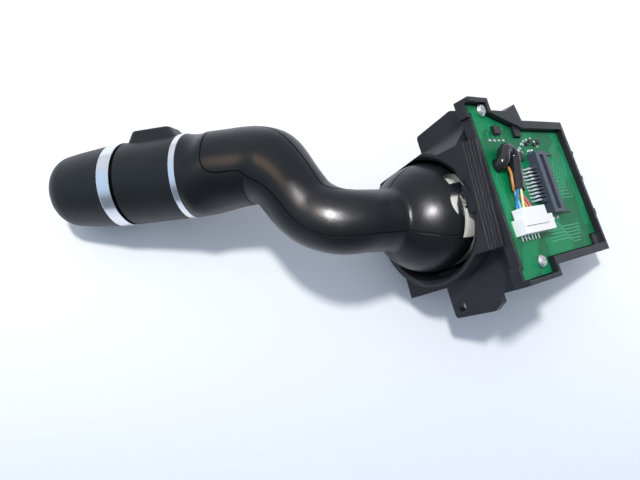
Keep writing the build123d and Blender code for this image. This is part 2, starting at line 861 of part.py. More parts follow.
def lever_lid(shell):
    lid = shell & lid_space(-seam_gap / 2)
    lid -= rod(relief_r, Vector(relief_x, 0, core_tongue_half_z), Vector(relief_x, 0, dome_r + 1))
    lid -= block(notch_x, pivot_depth, notch_y[0], notch_y[1], dome_r / 2, dome_r)
    skin = Pos(pivot) * (Sphere(dome_r) - Sphere(dome_r - shell_wall))
    lid += skin & block(-relief_r, tongue_back_x, tongue_y[0], tongue_y[1], dome_r / 2, dome_r + 1)
    return lid


def lever_back_shell(shell):
    return shell - lid_space(seam_gap / 2)


def lever_core():
    stem = rod(neck_r - shell_wall - core_gap, pivot + neck * core_start, pivot + neck * core_tube_end)
    tongue = block(
        core_tongue_front_x,
        core_tongue_end_x,
        -core_tongue_half_y,
        core_tongue_half_y,
        -core_tongue_half_z,
        core_tongue_half_z,
    )
    body = stem + tongue
    body -= rod(core_tube_bore_r, pivot + neck * 5, pivot + neck * (core_tube_end + 1))
    body -= rod(pull_pin_r + pin_fit, pivot - Y_AXIS * dome_r, pivot + Y_AXIS * dome_r)
    return body


# ---- handle: spindle, rings, collar and knob ----
def handle_spindle():
    flange_r = handle_r - shell_wall - spindle_flange_relief
    body = rod(flange_r, on_handle(-spindle_flange_t), on_handle(0))
    body += rod(handle_r - ring_t - seat_gap, on_handle(0), on_handle(inner_ring_end))
    body += rod(spindle_r, on_handle(0), on_handle(spindle_end))
    return body - rod(spindle_bore_r + pin_fit, on_handle(1), on_handle(spindle_end + 1))


def inner_trim_ring():
    return tube(handle_r + ring_proud, handle_r - ring_t, on_handle(0.02), on_handle(inner_ring_end))


def thumb_tab():
    up = Vector(*tab_up)
    up = (up - handle * up.dot(handle)).normalized()
    middle = (collar_start + collar_end) / 2
    base_centre = on_handle(middle - tab_base_shift) + up * (collar_r - tab_root_depth)
    top_centre = on_handle(middle + tab_top_shift) + up * (collar_r + tab_height)
    base = Plane(origin=base_centre, x_dir=handle, z_dir=up)
    top = Plane(origin=top_centre, x_dir=handle, z_dir=up)
    low_face = (base * RectangleRounded(tab_base_len, tab_base_w, 2.0)).face()
    high_face = (top * RectangleRounded(tab_top_len, tab_top_w, 2.0)).face()
    tab = loft([low_face, high_face])
    tab = fillet(tab.faces().sort_by(Axis(top_centre, up))[-1].edges(), tab_edge_r)
    return tab & rod(2 * collar_r, on_handle(collar_start), on_handle(collar_end))


def rotary_collar():
    body = rod(collar_r, on_handle(collar_start), on_handle(collar_end)) + thumb_tab()
    hollow_start = collar_start + bearing_w
    hollow_end = collar_end - bearing_w
    body -= tube(collar_r - collar_shell_t, spindle_r + 1.2, on_handle(hollow_start), on_handle(hollow_end))
    body -= rod(spindle_r + pin_fit, on_handle(collar_start - 1), on_handle(collar_end + 1))
    return body


def knob_hub():
    body = rod(spindle_bore_r, on_handle(hub_shaft_start), on_handle(hub_disc_start))
    body += rod(hub_disc_r, on_handle(hub_disc_start), on_handle(hub_disc_end))
    return body + rod(hub_post_r, on_handle(hub_disc_end), on_handle(hub_post_end))


def outer_trim_ring():
    sleeve = hub_disc_r + slide_fit + knob_sleeve_t
    return tube(handle_r + ring_proud, sleeve + pin_fit, on_handle(outer_ring_start), on_handle(outer_ring_end))


def knob_solid(inset):
    start = Plane(origin=on_handle(knob_start), z_dir=handle)
    edge = Vector(handle_r - inset, 0, 0)
    waist = Vector(knob_waist_r - inset, 0, knob_waist - knob_start)
    shoulder = Vector(knob_shoulder_r - inset, 0, knob_shoulder - knob_start)
    rim = Vector(knob_face_r - inset, 0, knob_end - inset - knob_start)
    side = Line(edge, waist)
    flare = TangentArc(waist, shoulder, tangent=side % 1)
    nose = TangentArc(shoulder, rim, tangent=flare % 1)
    close = Polyline(rim, Vector(0, 0, rim.Z), Vector(0, 0, 0), edge)
    return start * revolve(make_face([side, flare, nose, close]), Axis.Z)


def end_knob():
    sleeve_in = hub_disc_r + slide_fit
    body = knob_solid(0) - knob_solid(knob_wall)
    body += tube(sleeve_in + knob_sleeve_t, sleeve_in, on_handle(outer_ring_start + 0.1), on_handle(knob_start + 3))
    body += tube(handle_r - 0.4, sleeve_in, on_handle(knob_start), on_handle(knob_start + 2))
    body += rod(knob_boss_r, on_handle(knob_boss_start), on_handle(knob_end - knob_wall + 0.2))
    return body - rod(hub_post_r + slide_fit, on_handle(knob_boss_start - 1), on_handle(hub_post_end + 1.5))


def knob_spring():
    start = on_handle(hub_disc_end + 0.05)
    end = on_handle(knob_boss_start - knob_travel - 0.05)
    return coil(hub_post_r + 1.0, spring_wire_r, start, end, 4)


# ---- nodes ----
def build_nodes():
    shell = lever_shell()
    nodes = {
        "front_frame": front_frame(),
        "board_tray": board_tray(),
        "mechanism_case": mechanism_case(),
        "circuit_board": circuit_board(),
        "board_screws": board_screws(),
        "header_shell": header_shell(),
        "header_leads": header_leads(),
        "lead_socket": lead_socket(),
        "socket_pins": socket_pins(),
        "lead_plug": lead_plug(),
        "lead_sleeve": lead_sleeve(),
        "board_chips": board_chips(),
        "detent_block": detent_block(),
        "gimbal_pins": gimbal_pins(),
        "gimbal_block": gimbal_block(),
        "slider_contacts": slider_contacts(),
        "pull_pin": pull_pin(),
        "detent_plunger": detent_plunger(),
        "plunger_spring": plunger_spring(),
        "lever_lid": lever_lid(shell),
        "lever_back_shell": lever_back_shell(shell),
        "lever_core": lever_core(),
        "handle_spindle": handle_spindle(),
        "inner_trim_ring": inner_trim_ring(),
        "rotary_collar": rotary_collar(),
        "knob_hub": knob_hub(),
        "knob_spring": knob_spring(),
        "outer_trim_ring": outer_trim_ring(),
        "end_knob": end_knob(),
    }
    for index in range(wire_count):
        nodes["lead_wire_" + str(index + 1)] = lead_wire(index)
    return nodes


os.makedirs("parts", exist_ok=True)
for name, solid in build_nodes().items():
    export_step(place(solid), "parts/" + name + ".step")
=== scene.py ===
import json
import math
import random

import bmesh
import bpy
from mathutils import Euler, Matrix, Vector
from mathutils.bvhtree import BVHTree


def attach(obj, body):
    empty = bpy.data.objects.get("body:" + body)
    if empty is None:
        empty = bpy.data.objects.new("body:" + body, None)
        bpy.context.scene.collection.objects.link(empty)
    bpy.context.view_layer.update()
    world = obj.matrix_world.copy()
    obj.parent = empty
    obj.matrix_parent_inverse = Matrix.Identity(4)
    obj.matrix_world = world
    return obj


# Combination stalk switch on a pale bench. Metres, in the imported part's frame: +Z up from the
# bench, +X from the end knob towards the housing. The small pieces are written in millimetres,
# in the housing's own frame.

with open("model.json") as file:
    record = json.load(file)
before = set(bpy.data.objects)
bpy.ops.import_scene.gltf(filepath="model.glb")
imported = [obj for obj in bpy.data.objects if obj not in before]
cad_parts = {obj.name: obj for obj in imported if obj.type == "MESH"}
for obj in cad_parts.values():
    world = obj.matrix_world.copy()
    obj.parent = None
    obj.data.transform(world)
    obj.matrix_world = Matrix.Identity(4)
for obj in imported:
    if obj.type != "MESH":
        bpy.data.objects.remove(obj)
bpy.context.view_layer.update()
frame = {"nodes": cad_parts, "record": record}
nodes = frame["nodes"]
MM = 0.001

# ---- camera ----
camera_at = Vector((-0.03114, -0.03490, 0.22034))
camera_aim = Vector((-0.00603, -0.00347, -0.00209))
camera_roll = math.radians(16.219)
camera_lens = 33.75
camera_sensor = 36.0
camera_near = 0.005

# ---- lamps ----
key_at = (-0.0475, 0.223, 0.740)
key_aim = (0, 0, 0.02)
key_power = 3.7
key_colour = (1.0, 0.985, 0.96)
key_size = 0.075

# Beams: from, aim, radius at the aim, power, colour, softness of the rim, radius of the source
glints = {
    "glint_dome": (
        (0.005, 0.020, 0.790), (0.025, -0.011, 0.046), 0.0140,
        190.0, (1.0, 0.96, 0.97), 0.4, 0.024,
    ),
    "glint_neck": (
        (-0.110, 0.132, 0.775), (-0.0070, -0.0040, 0.050), 0.0075,
        250.0, (1.0, 0.99, 1.0), 0.7, 0.010,
    ),
    "glint_housing": (key_at, (0.108, 0.0, 0.030), 0.060, 22.0, (1.0, 1.0, 1.0), 0.15, 0.04),
    "glint_knob": (key_at, (-0.085, 0.030, 0.025), 0.045, 6.0, (1.0, 0.99, 0.96), 0.15, 0.04),
    "warm_band": (
        (-0.351, 0.208, 0.685), (-0.0185, 0.011, 0.047), 0.0100,
        50.0, (1.0, 0.66, 0.38), 0.8, 0.024,
    ),
}

# ---- surroundings: each change of tone runs in the direction "towards", over the range "over" ----
sky_dark = (0.22, 0.26, 0.33)
sky_bright = (0.95, 0.98, 1.06)
sky_towards = (0.0, 0.85, 0.52)
sky_over = (-0.25, 1.1)
window_blue = (0.62, 0.84, 1.10)
window_towards = (-0.77, 0.19, 0.61)
window_over = (0.80, 0.97)
window_share = 0.85

# Bench colour: pale, with painted shade that darkens it towards the viewer's side.
bench_painted_shade = (0.74, 0.78, 0.86)
bench_light = (0.94, 0.95, 0.965)
bench_shade_towards = (0.28, 0.96, 0)
bench_shade_over = (-0.10, -0.02)
bench_rough = 0.7
bench_reach = 3.0

# ---- the housing's own frame: tilted on the bench, with its origin in the collar's mouth ----
housing_turn = Euler((0, math.radians(37.0), 0))
housing_shift = Vector((0.02418, -0.01002, 0.03021))
handle_axis = Vector((-0.9216, 0.2090, -0.3273))
board_top = 26.0
pivot_x = 3.0

# ---- edges that stay sharp in the shading ----
node_crease = math.radians(32)
piece_crease = math.radians(50)


def in_housing(x, y, z):
    return housing_turn.to_matrix() @ (Vector((x, y, z)) * MM) + housing_shift


# ---- shader parts ----
MIX_A, MIX_B, MIX_RESULT = 6, 7, 2  # the colour sockets of the mix node, by number
WHOLE = (0.0, 1.0)
bevel_samples = 6
edge_to_face = (0.90, 0.995)  # dot product of the rounded and the plain normal
edge_wear_and_highlight_share = 0.6
smear_swing = 0.08  # roughness goes up and down by half of this


def feed(tree, source, target):
    """Link a socket to an input, or write a plain value there."""
    if isinstance(source, bpy.types.NodeSocket):
        tree.links.new(source, target)
    else:
        target.default_value = source


def new_material(name):
    material = bpy.data.materials.new(name)
    material.use_nodes = True
    tree = material.node_tree
    return material, tree, tree.nodes["Principled BSDF"]


def object_place(tree):
    return tree.nodes.new("ShaderNodeTexCoord").outputs["Object"]


def noise(tree, place, scale, detail, rough):
    node = tree.nodes.new("ShaderNodeTexNoise")
    node.inputs["Scale"].default_value = scale
    node.inputs["Detail"].default_value = detail
    node.inputs["Roughness"].default_value = rough
    feed(tree, place, node.inputs["Vector"])
    return node.outputs["Fac"]


def spread(tree, value, to, over=(0.25, 0.75)):
    """Map a value from one range to another, and hold it there."""
    node = tree.nodes.new("ShaderNodeMapRange")
    node.inputs["From Min"].default_value, node.inputs["From Max"].default_value = over
    node.inputs["To Min"].default_value, node.inputs["To Max"].default_value = to
    feed(tree, value, node.inputs["Value"])
    return node.outputs["Result"]


def operate(tree, family, kind, terms):
    node = tree.nodes.new(family)
    node.operation = kind
    for term, target in zip(terms, node.inputs):
        feed(tree, term, target)
    return node


def maths(tree, kind, *terms):
    return operate(tree, "ShaderNodeMath", kind, terms).outputs["Value"]


def dot(tree, *terms):
    return operate(tree, "ShaderNodeVectorMath", "DOT_PRODUCT", terms).outputs["Value"]


def two_tone(tree, value, dark, light):
    node = tree.nodes.new("ShaderNodeMix")
    node.data_type = "RGBA"
    for tone, number in ((dark, MIX_A), (light, MIX_B)):
        feed(tree, (*tone, 1) if isinstance(tone, tuple) else tone, node.inputs[number])
    feed(tree, value, node.inputs["Factor"])
    return node.outputs[MIX_RESULT]


def bump(tree, height, depth, strength, normal):
    """Normal from a height, with its depth in millimetres."""
    node = tree.nodes.new("ShaderNodeBump")
    node.inputs["Distance"].default_value = depth * MM
    node.inputs["Strength"].default_value = strength
    feed(tree, height, node.inputs["Height"])
    feed(tree, normal, node.inputs["Normal"])
    return node.outputs["Normal"]


def soft_edge(tree, radius):
    """Normal that rounds the edges by a radius in millimetres."""
    bevel = tree.nodes.new("ShaderNodeBevel")
    bevel.samples = bevel_samples
    bevel.inputs["Radius"].default_value = radius * MM
    return bevel.outputs["Normal"]


def edge_mask(tree, soft_normal):
    """1 on the edges and 0 on the faces."""
    plain_normal = tree.nodes.new("ShaderNodeNewGeometry").outputs["Normal"]
    return spread(tree, dot(tree, soft_normal, plain_normal), (1.0, 0.0), edge_to_face)


def plastic(
    name, dark, light, rough,
    grain=(900, 0.01), metallic=0.0, edge=0.1, edge_wear_and_highlight=None, ripple=0.0, shine=0.5,
):
    """Moulded or drawn surface: two tones, fine grain, rounded edges that may be worn.

    rough is the range of the roughness, grain its scale and depth, edge a radius, the argument
    after it the colour of the lighter edges (wear, with a painted highlight along them), ripple a
    depth and shine the specular level. Depths and radii are in millimetres.
    """
    material, tree, shader = new_material(name)
    place = object_place(tree)
    wide = noise(tree, place, scale=70.0, detail=4.0, rough=0.6)
    fine = noise(tree, place, scale=grain[0], detail=2.0, rough=0.5)
    smears = noise(tree, place, scale=240.0, detail=5.0, rough=0.7)
    normal = soft_edge(tree, edge)
    tone = two_tone(tree, spread(tree, wide, WHOLE), dark, light)
    # Lighter edges in the colour: partly wear, partly a painted highlight along the edges.
    if edge_wear_and_highlight:
        patches = noise(tree, place, scale=350.0, detail=3.0, rough=0.6)
        patches = spread(tree, patches, to=(0.1, 1.0), over=(0.4, 0.65))
        worn_and_highlit_edges = maths(tree, "MULTIPLY", edge_mask(tree, normal), patches)
        tone = two_tone(tree, maths(tree, "MULTIPLY", worn_and_highlit_edges, edge_wear_and_highlight_share), tone, edge_wear_and_highlight)
    smears = maths(tree, "MULTIPLY_ADD", smears, smear_swing, -smear_swing / 2)
    if ripple:
        waves = noise(tree, place, scale=260.0, detail=2.0, rough=0.5)
        normal = bump(tree, waves, ripple, 1.0, normal)
    feed(tree, tone, shader.inputs["Base Color"])
    feed(tree, maths(tree, "ADD", spread(tree, wide, rough), smears), shader.inputs["Roughness"])
    feed(tree, bump(tree, fine, grain[1], 0.5, normal), shader.inputs["Normal"])
    feed(tree, metallic, shader.inputs["Metallic"])
    feed(tree, shine, shader.inputs["Specular IOR Level"])
    return material


def brushed(name, dark, light, rough):
    """Bright ring, turned on a lathe: fine lines round the handle's axis."""
    across_lines, along_lines = 9000.0, (40.0, 40.0, 40.0)
    material, tree, shader = new_material(name)
    place = object_place(tree)
    lines = tree.nodes.new("ShaderNodeCombineXYZ")
    along = maths(tree, "MULTIPLY", dot(tree, place, handle_axis), across_lines)
    feed(tree, along, lines.inputs["X"])
    stretched = operate(
        tree, "ShaderNodeVectorMath", "MULTIPLY_ADD",
        (place, along_lines, lines.outputs["Vector"]),
    ).outputs["Vector"]
    strokes = noise(tree, stretched, scale=1.0, detail=3.0, rough=0.7)
    normal = bump(tree, strokes, 0.006, 0.6, soft_edge(tree, 0.35))
    tone = two_tone(tree, spread(tree, strokes, WHOLE), dark, light)
    feed(tree, tone, shader.inputs["Base Color"])
    feed(tree, spread(tree, strokes, rough), shader.inputs["Roughness"])
    feed(tree, normal, shader.inputs["Normal"])
    feed(tree, 1.0, shader.inputs["Metallic"])
    return material


def fibre_board(name, dark, light, rough):
    """Solder mask over woven glass: a faint weave, and two greens in broad patches."""
    thread_scale, thread_bend = 320.0, 1.0
    weave_share, patch_share = 0.2, 0.75
    shine = 0.18
    material, tree, shader = new_material(name)
    own = tree.nodes.new("ShaderNodeMapping")
    own.vector_type = "TEXTURE"
    own.inputs["Location"].default_value = housing_shift
    own.inputs["Rotation"].default_value = housing_turn
    feed(tree, object_place(tree), own.inputs["Vector"])
    flat = own.outputs["Vector"]
    threads = []
    for axis in ("X", "Y"):
        wave = tree.nodes.new("ShaderNodeTexWave")
        wave.bands_direction = axis
        wave.inputs["Scale"].default_value = thread_scale
        wave.inputs["Distortion"].default_value = thread_bend
        feed(tree, flat, wave.inputs["Vector"])
        threads.append(wave.outputs["Fac"])
    weave = maths(tree, "MULTIPLY", *threads)
    patches = noise(tree, flat, scale=95.0, detail=1.0, rough=0.3)
    patches = spread(tree, patches, WHOLE, over=(0.47, 0.53))
    patches = maths(tree, "MULTIPLY", patches, patch_share)
    shade = maths(tree, "MULTIPLY_ADD", weave, weave_share, patches)
    grain = noise(tree, flat, scale=500.0, detail=3.0, rough=0.6)
    normal = bump(tree, weave, 0.008, 0.4, soft_edge(tree, 0.15))
    feed(tree, two_tone(tree, shade, dark, light), shader.inputs["Base Color"])
    feed(tree, spread(tree, grain, rough), shader.inputs["Roughness"])
    feed(tree, normal, shader.inputs["Normal"])
    feed(tree, shine, shader.inputs["Specular IOR Level"])
    return material


# ---- materials: darker tone, lighter tone, range of the roughness, then what differs ----
# Colour of the lighter edges: wear, with a painted highlight along the edges.
edge_wear_and_highlight_tone = (0.060, 0.060, 0.064)
paint = {
    "housing": plastic(
        "housing_plastic", (0.012, 0.013, 0.016), (0.021, 0.022, 0.026), (0.40, 0.54),
        grain=(2400, 0.035), edge=0.3, edge_wear_and_highlight=edge_wear_and_highlight_tone, shine=0.38,
    ),
    "board": fibre_board(
        "board_mask", (0.002, 0.155, 0.055), (0.004, 0.265, 0.100), (0.36, 0.48),
    ),
    "screws": plastic(
        "screw_steel", (0.60, 0.60, 0.60), (0.80, 0.80, 0.80), (0.22, 0.38),
        grain=(1500, 0.01), metallic=1.0, edge=0.15,
    ),
    "header": plastic(
        "header_plastic", (0.040, 0.052, 0.078), (0.060, 0.072, 0.100), (0.34, 0.46),
        grain=(2000, 0.01), edge=0.15,
    ),
    "leads": plastic(
        "lead_tin", (0.62, 0.63, 0.64), (0.84, 0.84, 0.85), (0.18, 0.34),
        grain=(1200, 0.02), metallic=1.0,
    ),
    "connector": plastic(
        "connector_nylon", (0.90, 0.895, 0.86), (0.96, 0.96, 0.94), (0.35, 0.50),
        grain=(1500, 0.01), edge=0.2,
    ),
    "sleeve": plastic(
        "sleeve_vinyl", (0.010, 0.010, 0.012), (0.018, 0.018, 0.021), (0.10, 0.20),
        edge=0.15, ripple=0.35,
    ),
    "wire_blue": plastic("wire_blue", (0.010, 0.18, 0.42), (0.018, 0.24, 0.50), (0.25, 0.4)),
    "wire_sky": plastic("wire_sky", (0.16, 0.52, 0.72), (0.24, 0.60, 0.80), (0.25, 0.4)),
    "wire_cream": plastic("wire_cream", (0.85, 0.76, 0.32), (0.90, 0.83, 0.45), (0.25, 0.4)),
    "wire_tan": plastic("wire_tan", (0.62, 0.24, 0.05), (0.72, 0.31, 0.09), (0.25, 0.4)),
    "wire_red": plastic("wire_red", (0.70, 0.10, 0.16), (0.78, 0.16, 0.22), (0.25, 0.4)),
    "chips": plastic(
        "chip_epoxy", (0.010, 0.010, 0.011), (0.018, 0.018, 0.018), (0.35, 0.5),
        grain=(1500, 0.01), edge=0.12,
    ),
    "gimbal": plastic(
        "gimbal_acetal", (0.78, 0.77, 0.71), (0.86, 0.85, 0.80), (0.32, 0.46),
        edge=0.25,
    ),
    "contacts": plastic(
        "contact_brass", (0.66, 0.44, 0.16), (0.80, 0.58, 0.27), (0.2, 0.35),
        grain=(1500, 0.01), metallic=1.0,
    ),
    "pins": plastic(
        "pin_steel", (0.55, 0.55, 0.56), (0.7, 0.7, 0.7), (0.2, 0.35),
        grain=(1500, 0.01), metallic=1.0, edge=0.15,
    ),
    "springs": plastic(
        "spring_steel", (0.45, 0.45, 0.46), (0.6, 0.6, 0.6), (0.25, 0.4),
        grain=(1500, 0.01), metallic=1.0,
    ),
    "lever": plastic(
        "lever_plastic", (0.0042, 0.0056, 0.0070), (0.0072, 0.0092, 0.0115), (0.29, 0.37),
        grain=(2800, 0.085), edge=0.45, edge_wear_and_highlight=edge_wear_and_highlight_tone, shine=0.30,
    ),
    "core": plastic(
        "core_plastic", (0.03, 0.03, 0.03), (0.05, 0.05, 0.05), (0.4, 0.55),
        grain=(2000, 0.02), edge=0.2,
    ),
    "rings": brushed(
        "ring_metal", (0.70, 0.71, 0.74), (0.84, 0.85, 0.88), (0.12, 0.22),
    ),
    "knob": plastic(
        "knob_plastic", (0.0060, 0.0078, 0.0094), (0.0108, 0.0132, 0.0152), (0.40, 0.50),
        grain=(3000, 0.040), edge=0.35, edge_wear_and_highlight=edge_wear_and_highlight_tone, shine=0.32,
    ),
}


def smooth(piece, crease):
    for face in piece.data.polygons:
        face.use_smooth = True
    piece.data.set_sharp_from_angle(angle=crease)


slots = {row["node"]: row["material_slot"] for row in frame["record"]["subparts"]}
for name, node in nodes.items():
    node.data.materials.clear()
    node.data.materials.append(paint[slots[name]])
    smooth(node, node_crease)


# ---- small pieces, placed in the housing's frame ----
def finish_piece(name, mesh_builder, slot, material=None, body="housing"):
    mesh = bpy.data.meshes.new(name)
    mesh_builder.normal_update()
    mesh_builder.to_mesh(mesh)
    mesh_builder.free()
    piece = bpy.data.objects.new(name, mesh)
    bpy.context.scene.collection.objects.link(piece)
    mesh.materials.append(material or paint[slot])
    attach(piece, body)
    return piece


def join_rows(bm, one, two):
    """Faces between two closed rows of the same length."""
    count = len(one)
    for k in range(count):
        n = (k + 1) % count
        bm.faces.new((one[k], one[n], two[n], two[k]))


def close_tube(bm, rows):
    """Walls between the rows and a face over each end."""
    for one, two in zip(rows, rows[1:]):
        join_rows(bm, one, two)
    bm.faces.new(list(reversed(rows[0])))
    bm.faces.new(rows[-1])
    bmesh.ops.recalc_face_normals(bm, faces=bm.faces)


def strip(bm, points, width):
    """Copper track: a flat ribbon with mitred corners, its top just proud of the mask."""
    low, high = board_top - 0.01, board_top + 0.035
    slant, mitre_limit = 0.12, 0.5
    left, right = [], []
    count = len(points)
    for i, point in enumerate(points):
        here = Vector(point)
        back = (here - Vector(points[i - 1])).normalized() if i else None
        ahead = (Vector(points[i + 1]) - here).normalized() if i < count - 1 else None
        run = ((back or ahead) + (ahead or back)).normalized()
        side = Vector((-run.y, run.x))
        reach = width / 2 / max(mitre_limit, abs(run.dot(ahead or back)))
        left.append(here + side * reach)
        right.append(here - side * reach)
    rows = []
    for a, b in zip(left, right):
        inset = (b - a) * slant
        rows.append([
            bm.verts.new(in_housing(a.x, a.y, low)),
            bm.verts.new(in_housing((a + inset).x, (a + inset).y, high)),
            bm.verts.new(in_housing((b - inset).x, (b - inset).y, high)),
            bm.verts.new(in_housing(b.x, b.y, low)),
        ])
    for one, two in zip(rows, rows[1:]):
        for k in range(3):
            bm.faces.new((one[k], two[k], two[k + 1], one[k + 1]))
        bm.faces.new((one[3], two[3], two[0], one[0]))
    bm.faces.new(rows[0])
    bm.faces.new(list(reversed(rows[-1])))


def blob(bm, x, y, radius, height, seed, stretch=1.0):
    """Solder joint: a low, slightly uneven dome."""
    rings, around = 5, 14
    foot = board_top - 0.02
    most_lean, most_wobble, fullness = 0.15, 0.12, 0.8
    draw = random.Random(seed)
    lean = draw.uniform(-most_lean, most_lean)
    wobble = [1 + draw.uniform(-most_wobble, most_wobble) for _ in range(around)]
    rows = []
    for i in range(rings):
        rise = math.sin(math.pi / 2 * i / rings)
        reach = math.cos(math.pi / 2 * i / rings) ** fullness
        row = []
        for k in range(around):
            turn = 2 * math.pi * k / around
            r = radius * reach * (1 + (wobble[k] - 1) * (1 - rise))
            row.append(bm.verts.new(in_housing(
                x + r * stretch * math.cos(turn) + lean * rise * height,
                y + r * math.sin(turn),
                foot + height * rise,
            )))
        rows.append(row)
    top = bm.verts.new(in_housing(x + lean * height, y, foot + height))
    for one, two in zip(rows, rows[1:]):
        join_rows(bm, one, two)
    for k in range(around):
        bm.faces.new((rows[-1][k], rows[-1][(k + 1) % around], top))
    bm.faces.new(list(reversed(rows[0])))


# Places on the board: the header's ten leads, and a row of four joints near the far edge
lead_count, lead_pitch, lead_middle = 10, 1.2, 0.3
lead_rows = [
    lead_middle + (i - (lead_count - 1) / 2) * lead_pitch for i in range(lead_count)
]
lead_pad_x, lead_tip_x = 24.6, 40.2
row_count, row_pitch, row_first, row_y = 4, 2.67, 11.4, 16.1
row_places = [row_first + row_pitch * i for i in range(row_count)]

tracks = bmesh.new()
for i, y in enumerate(lead_rows):  # from the header's leads to the far edge
    bend = 46.0 + 0.9 * (lead_count - 1 - i)
    end = 17.6 - 0.5 * i
    strip(tracks, [(40.6, y), (bend, y), (bend + 3.2, y + 3.2), (bend + 3.2, end)], 0.42)
for i in range(5):  # along the board's end
    x = 55.4 + 0.95 * i
    strip(tracks, [(x - 2.6, 18.6), (x, 14.0), (x + 1.6, -8.0), (x + 0.6, -16.0)], 0.4)
for i in range(6):  # along the board's near side
    y = -13.4 - 1.15 * i
    bent = y - 1.6
    strip(tracks, [(28.0, y), (36.0 + i, y), (39.0 + i, bent), (52.0 - 0.6 * i, bent)], 0.45)
for i in range(4):  # behind the front frame
    x = 7.4 + 0.85 * i
    strip(tracks, [(x, -9.4), (x, 3.0 - i), (x + 1.6, 5.4 - i)], 0.4)
for i, x in enumerate(row_places):  # from the row of joints to the far edge
    bent = 13.6 + row_pitch * i
    strip(tracks, [(x, row_y), (x, 18.4), (bent, 20.6), (bent, 22.0)], 0.4)
track_paint = plastic(
    "board_track", (0.012, 0.290, 0.125), (0.020, 0.350, 0.160), (0.30, 0.42), edge=0.05,
)
smooth(finish_piece("board_tracks", tracks, "board", track_paint), piece_crease)

# The other joints: x, y, radius, height, stretch along x
other_joints = (
    (26.6, 12.4, 0.75, 0.5, 1.3), (28.2, 13.3, 0.7, 0.45, 1.2), (30.4, 14.7, 0.8, 0.55, 1.4),
    (32.2, 15.9, 0.6, 0.4, 1.0), (34.6, 16.4, 0.6, 0.4, 1.5), (37.4, 16.9, 0.55, 0.4, 1.2),
    (39.8, 15.6, 0.6, 0.45, 1.1), (40.9, 13.9, 0.55, 0.4, 1.0), (33.8, 12.3, 0.7, 0.5, 1.4),
    (36.0, 12.6, 0.55, 0.4, 1.2), (34.6, -11.7, 0.7, 0.45, 1.5), (37.6, -11.6, 0.6, 0.4, 1.3),
    (31.6, -12.6, 0.5, 0.35, 1.2), (28.9, 11.9, 0.5, 0.35, 1.0),
)
row_seed, other_seed, pad_seed, tip_seed = 10, 40, 80, 100
solder = bmesh.new()
for i, x in enumerate(row_places):
    blob(solder, x, row_y, 0.62, 0.42, row_seed + i)
for i, (x, y, radius, height, stretch) in enumerate(other_joints):
    blob(solder, x, y, radius, height, other_seed + i, stretch)
for i, y in enumerate(lead_rows):
    blob(solder, lead_pad_x, y, 0.46, 0.5, pad_seed + i, 1.9)
    blob(solder, lead_tip_x, y, 0.34, 0.3, tip_seed + i, 1.5)
smooth(finish_piece("solder_joints", solder, "leads"), piece_crease)


def through(a, b, c, d, t):
    """Point at t between b and c, on the smooth curve through all four."""
    bend = 2 * a - 5 * b + 4 * c - d
    twist = 3 * b - a - 3 * c + d
    return 0.5 * (2 * b + (c - a) * t + bend * t * t + twist * t ** 3)


def strand(bm, points, radius, around=10, steps=6):
    """Thin wire through the given points, with narrowed ends."""
    end_width = 0.6
    path = []
    ends = [points[0], *points, points[-1]]
    for i in range(len(points) - 1):
        corners = [Vector(point) for point in ends[i:i + 4]]
        path += [through(*corners, k / steps) for k in range(steps)]
    path.append(Vector(points[-1]))
    last = len(path) - 1
    rows = []
    for i, here in enumerate(path):
        run = (path[min(i + 1, last)] - path[max(i - 1, 0)]).normalized()
        side = run.cross(Vector((0, 0, 1))).normalized()
        up = side.cross(run)
        reach = radius * (end_width if i in (0, last) else 1.0)
        row = []
        for k in range(around):
            turn = 2 * math.pi * k / around
            out = side * math.cos(turn) + up * math.sin(turn)
            row.append(bm.verts.new(in_housing(*(here + out * reach))))
        rows.append(row)
    close_tube(bm, rows)


loose_radius = 0.42
loose_path = [(14.2, 6.6, 27.5), (13.0, 4.2, 28.3), (12.0, 1.6, 28.4), (12.5, -1.4, 27.6)]
loose = bmesh.new()
strand(loose, loose_path, loose_radius)
smooth(finish_piece("loose_strand", loose, "wire_tan"), piece_crease)


# ---- bands of a sphere about the gimbal's centre, seen between the dome and the collar ----
def band(name, section, start, end, body, slot):
    """Section of (radius from the gimbal's centre, x), carried round from start to end degrees."""
    bm = bmesh.new()
    steps = 36
    columns = []
    for i in range(steps + 1):
        turn = math.radians(start + (end - start) * i / steps)
        column = []
        for radius, x in section:
            flat = math.sqrt(radius * radius - (x - pivot_x) ** 2)
            place = in_housing(x, flat * math.cos(turn), flat * math.sin(turn))
            column.append(bm.verts.new(place))
        columns.append(column)
    close_tube(bm, columns)
    smooth(finish_piece(name, bm, slot, None, body), piece_crease)


skirt = (
    (17.99, -1.05), (17.99, 0.2), (17.99, 1.4), (17.99, 2.6), (17.97, 3.8), (17.90, 4.7),
    (17.80, 4.85), (17.63, 4.85), (17.55, 3.6), (17.50, 2.4), (17.47, 0.8), (17.30, -0.8),
)
inner_band = (
    (17.25, 1.0), (17.30, 1.2), (17.30, 3.0), (17.36, 4.8), (15.6, 4.8), (15.6, 1.0),
)
band("dome_skirt_upper", skirt, 56.0, -30.0, "lever", "lever")
band("dome_skirt_lower", skirt, 128.0, 205.0, "lever", "lever")
band("gimbal_window", inner_band, 98.0, 132.0, "carrier", "gimbal")
